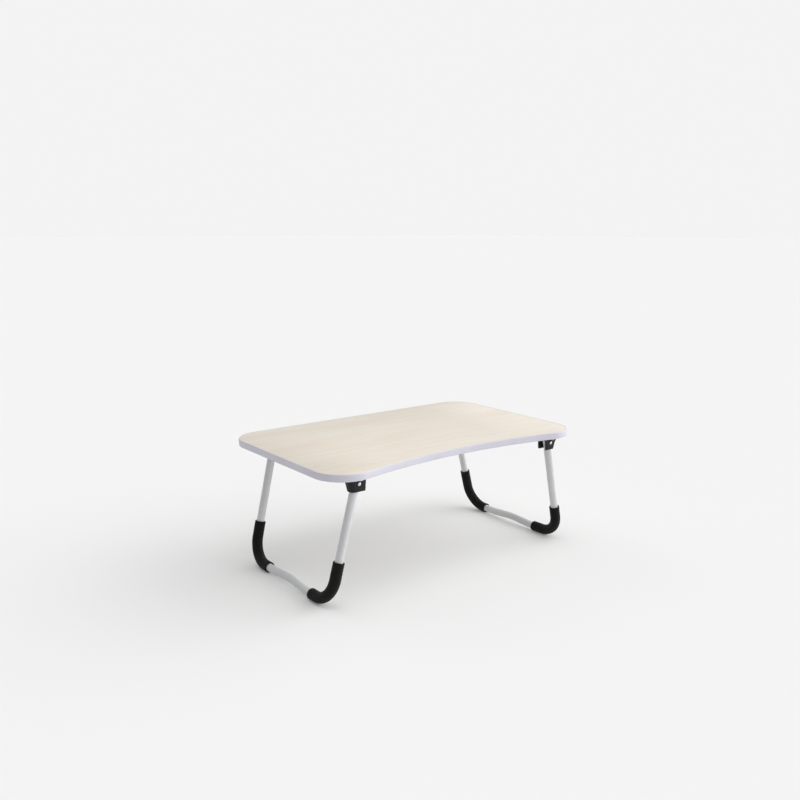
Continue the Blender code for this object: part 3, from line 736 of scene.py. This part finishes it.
# ---------------------------------------------------------------- leg frames
def frame_station(s):
    """Point and direction of the leg frame, `s` along the tube from the middle of its bar."""
    t = abs(s)
    if t <= BEND_START:
        y, z, angle = t, -LEG_LENGTH, 0.0
        if t < BAR_BOW_HALF:
            turn = math.pi * t / BAR_BOW_HALF
            z += BAR_BOW * (1 + math.cos(turn)) / 2
            angle = -math.atan(BAR_BOW * math.sin(turn) * math.pi / BAR_BOW_HALF / 2)
    elif t <= BEND_END:
        angle = (t - BEND_START) / BEND_RADIUS
        y = BEND_START + BEND_RADIUS * math.sin(angle)
        z = -LEG_LENGTH + BEND_RADIUS * (1 - math.cos(angle))
    else:
        angle = BEND_ANGLE
        y = BEND_START + BEND_RADIUS * math.sin(angle) + (t - BEND_END) * math.cos(angle)
        z = (-LEG_LENGTH + BEND_RADIUS * (1 - math.cos(angle))
             + (t - BEND_END) * math.sin(angle))
    point = Vector((0, y, z))
    direction = Vector((0, math.cos(angle), math.sin(angle)))
    if s < 0:
        point.y = -point.y
        direction.z = -direction.z
    return point, direction


def section(s, radius_at, sides):
    """A ring of the tube at `s`; `radius_at` gives the radius for each angle from outward."""
    point, direction = frame_station(s)
    outward = Vector((0, direction.z, -direction.y))
    across = Vector((-1, 0, 0))
    ring = []
    for i in range(sides):
        a = 2 * math.pi * i / sides
        ring.append(point + radius_at(a) * (math.cos(a) * outward + math.sin(a) * across))
    return ring


def spaced(start, end, steps):
    """Even steps from `start` to `end`, both included."""
    return [start + (end - start) * i / steps for i in range(steps + 1)]


def ring_uv(s, radius, sides):
    """A ring's texture place in metres: along the tube, and round it."""
    return s, [2 * math.pi * radius * i / sides for i in range(sides + 1)]


def tube_mesh():
    """The U of hollow tube, its ends rounded about the pivot axis."""
    bow_steps, bend_steps, leg_steps = 20, 30, 6
    half = (spaced(0, BAR_BOW_HALF, bow_steps) + spaced(BEND_START, BEND_END, bend_steps)
            + spaced(BEND_END, PIVOT_AT, leg_steps)[1:])
    stations = [-s for s in reversed(half[1:])] + half
    rings, uvs = [], []
    for radius in (TUBE_RADIUS, TUBE_RADIUS - TUBE_WALL):
        shell = [section(s, lambda a: radius, TUBE_SIDES) for s in stations]
        for index, sign in ((0, -1), (-1, 1)):
            direction = frame_station(stations[index])[1] * sign
            shell[index] = [p + direction * math.sqrt(END_ROUND ** 2 - p.x ** 2)
                            for p in shell[index]]
        marks = [ring_uv(s, radius, TUBE_SIDES) for s in stations]
        if rings:
            shell.reverse()
            marks.reverse()
        rings += shell
        uvs += marks
    tube = loft("leg_tube", rings, closed=True, uvs=uvs)
    reach = LEG_HALF_SPACING + TUBE_RADIUS + CUT_PAST
    return carved("leg_tube", tube, [("DIFFERENCE", rod(RIVET_HOLE_RADIUS, (0, -reach, 0),
                                                       (0, reach, 0)))])


def sleeve_mesh(name, sign, slide, seed, matrix):
    """Foam sleeve over one bend: knife-cut ends, squeezed inside the bend, flat on the floor."""
    start, end = SLEEVE_START + slide, SLEEVE_START + slide + SLEEVE_LENGTH

    def bend_share(s):
        """1 in the middle of the bend, 0 on the straight stretches."""
        u = (s - BEND_START) / (BEND_END - BEND_START)
        return math.sin(math.pi * min(max(u, 0.0), 1.0)) ** 2

    def wobble(s, a, scale, offset):
        """Smooth noise over the sleeve, its own for each `seed` and `offset`."""
        return noise.noise(Vector((math.cos(a) * scale, math.sin(a) * scale,
                                   s * NOISE_PER_METRE + seed * NOISE_PER_SEED + offset)))

    def outer(s, a):
        """Radius of the skin at `s`, at the angle `a` from the outside of the bend."""
        inside = max(-math.cos(a), 0.0)
        bend = bend_share(s)
        radius = SLEEVE_RADIUS - SWELL + SWELL * wobble(s, a, 0.8, 0.0)
        radius += DENTS * wobble(s * 0.12, a, 9.0, 3.0)
        radius -= STRETCHED * bend * max(math.cos(a), 0.0)
        ripple = math.sin(2 * math.pi * s / RIPPLE_PITCH + RIPPLE_SWAY * wobble(s, a, 0.6, 9.0))
        radius += RIPPLES * bend * inside ** 2 * ripple
        edge = min(s - start, end - s)
        if edge < LIP:
            radius -= LIP_DROP * (1 - math.sqrt(1 - (1 - edge / LIP) ** 2))
        return radius

    def inner(s, a):
        """Radius of the bore, in the same way."""
        edge = min(s - start, end - s)
        flare = max(1 - edge / FLARE_LENGTH, 0.0)
        return SLEEVE_BORE + FLARE * flare ** 2 * (1 + 0.3 * math.cos(a + seed))

    stations = ([start + LIP * share for share in LIP_SHARES]
                + spaced(start + LIP, end - LIP, SLEEVE_STEPS)
                + [end - LIP * share for share in reversed(LIP_SHARES)])
    rings, uvs = [], []
    for shape in (outer, inner):
        shell = [section(sign * s, lambda a: shape(s, a), SLEEVE_SIDES) for s in stations]
        for index, way in ((0, -1), (-1, 1)):
            direction = frame_station(sign * stations[index])[1] * sign
            for i, p in enumerate(shell[index]):
                a = 2 * math.pi * i / SLEEVE_SIDES
                cut = CUT_SLANT * math.cos(a + seed) + CUT_WAVER * wobble(0.0, a, 1.6, 20.0 + way)
                p += direction * cut
        marks = [ring_uv(s, SLEEVE_RADIUS, SLEEVE_SIDES) for s in stations]
        if rings:
            shell.reverse()
            marks.reverse()
        rings += shell
        uvs += marks
    mesh = loft(name, rings, closed=True, uvs=uvs, sharp=SLEEVE_SHARP_ANGLE)
    mesh.transform(matrix)
    for vertex in mesh.vertices:
        vertex.co.z = max(vertex.co.z, 0.0)
    return mesh


def build_legs(finishes):
    """Both leg frames, each with two foam sleeves."""
    tube = tube_mesh()
    for side in SIDES:
        body = side + "_leg"
        turn = Matrix.Rotation(0 if side == "right" else math.pi, 4, "Z")
        matrix = (Matrix.Translation(PIVOTS[body]) @ turn @ Matrix.Rotation(-SPLAY, 4, "Y"))
        add_piece(f"leg_tube_{side}", tube, finishes["powder"], body,
                  [f"leg_frame_{side}"], matrix)
        for row, facing in ROWS.items():
            sign = facing * SIDES[side]
            name = f"foam_sleeve_{row}_{side}"
            seed = 1 + 2 * (row == "rear") + (side == "right")
            mesh = sleeve_mesh(name, sign, SLEEVE_SLIDE[row, side], seed, matrix)
            sleeve = add_piece(name, mesh, finishes["foam"], body,
                               [f"foot_sleeve_{row}_{side}"])


def dress_cad_nodes(finishes):
    """The nodes that stay as the CAD made them get their materials."""
    for name, node in frame["nodes"].items():
        if name == "board_core":
            node.data.materials[0] = finishes["mdf"]
        elif name.startswith("tube_insert"):
            node.data.materials[0] = finishes["nylon"]


# ---------------------------------------------------------------- stage and light
FLOOR_HALF = 60.0
FLOOR_ALBEDO = 0.73
FLOOR_SPECKLE = 0.003
FLOOR_GLOW = 0.11               # the paper glows: painted light that keeps its shadows pale
BACKDROP = 0.896                # brightness that the camera sees: the lit floor's own
AMBIENT = 0.32

# soft boxes of the studio: degrees from the zenith, azimuth from +X, tightness, brightness
SOFT_BOXES = {
    "overhead": (10, 225, 24, 1.95),
    "overhead_right": (12, 300, 30, 0.50),
    "back": (50, 110, 13, 1.10),
    "right": (72, 322, 6, 2.45),
    "far_right": (66, 350, 6, 1.85),
}


def build_stage():
    """A pale paper floor that runs to the horizon, with a faint glow of painted light that lifts
    its shadows.
    """
    f = Finish("floor_paper", Roughness=1.0, Specular_IOR_Level=0.0,
               Emission_Color=(1, 1, 1, 1), Emission_Strength=FLOOR_GLOW)
    speckle = f.noise(f.space(), 900.0, 2)
    f.set(f.ramp(speckle, (0.3, FLOOR_ALBEDO - FLOOR_SPECKLE),
                 (0.7, FLOOR_ALBEDO + FLOOR_SPECKLE)))
    bm = bmesh.new()
    bmesh.ops.create_grid(bm, x_segments=2, y_segments=2, size=FLOOR_HALF)
    mesh = finish_mesh("floor", bm)
    mesh.materials.append(f.material)
    floor = bpy.data.objects.new("floor", mesh)
    bpy.context.scene.collection.objects.link(floor)


def build_light():
    """Studio light as a smooth sky of soft boxes; the camera sees an even pale backdrop."""
    world = bpy.data.worlds.new("studio")
    bpy.context.scene.world = world
    world.use_nodes = True
    tree = world.node_tree
    tree.nodes.clear()

    def node(kind, *values, **settings):
        """A node with `values` for its first inputs; None leaves one as it is."""
        made = tree.nodes.new("ShaderNode" + kind)
        for key, value in settings.items():
            setattr(made, key, value)
        for socket, value in zip(made.inputs, values):
            if isinstance(value, bpy.types.NodeSocket):
                tree.links.new(value, socket)
            elif value is not None:
                socket.default_value = value
        return made

    direction = node("TexCoord").outputs["Generated"]
    total = AMBIENT
    for zenith, azimuth, tightness, brightness in SOFT_BOXES.values():
        zenith, azimuth = math.radians(zenith), math.radians(azimuth)
        centre = (math.sin(zenith) * math.cos(azimuth), math.sin(zenith) * math.sin(azimuth),
                  math.cos(zenith))
        closeness = node("VectorMath", direction, centre, operation="DOT_PRODUCT").outputs["Value"]
        fall = node("Math", closeness, tightness, -tightness, operation="MULTIPLY_ADD").outputs[0]
        lobe = node("Math", node("Math", fall, operation="EXPONENT").outputs[0], brightness,
                    operation="MULTIPLY").outputs[0]
        total = node("Math", lobe, total, operation="ADD").outputs[0]
    studio = node("Background", None, total).outputs[0]
    backdrop = node("Background", None, BACKDROP).outputs[0]
    seen = node("LightPath").outputs["Is Camera Ray"]
    node("OutputWorld", node("MixShader", seen, studio, backdrop).outputs[0])
    for shader in (n for n in tree.nodes if n.type == "BACKGROUND"):
        shader.inputs["Color"].default_value = (1, 1, 1, 1)
    bpy.context.scene.view_settings.view_transform = "Standard"


def main():
    finishes = {
        "maple": maple_finish(), "band": band_finish(), "backing": backing_finish(),
        "mdf": fibreboard_finish(), "powder": powder_coat_finish(), "foam": foam_finish(),
        "nylon": nylon_finish(),
        "zinc": steel_finish("zinc_plate", linear(226, 226, 224), linear(196, 196, 194),
                             0.18, 0.36),
        "screw": steel_finish("screw_zinc", linear(200, 200, 198), linear(160, 160, 158),
                              0.28, 0.48),
    }
    build_camera()
    build_stage()
    build_light()
    build_board(finishes)
    build_hinges(finishes)
    build_legs(finishes)
    dress_cad_nodes(finishes)


main()
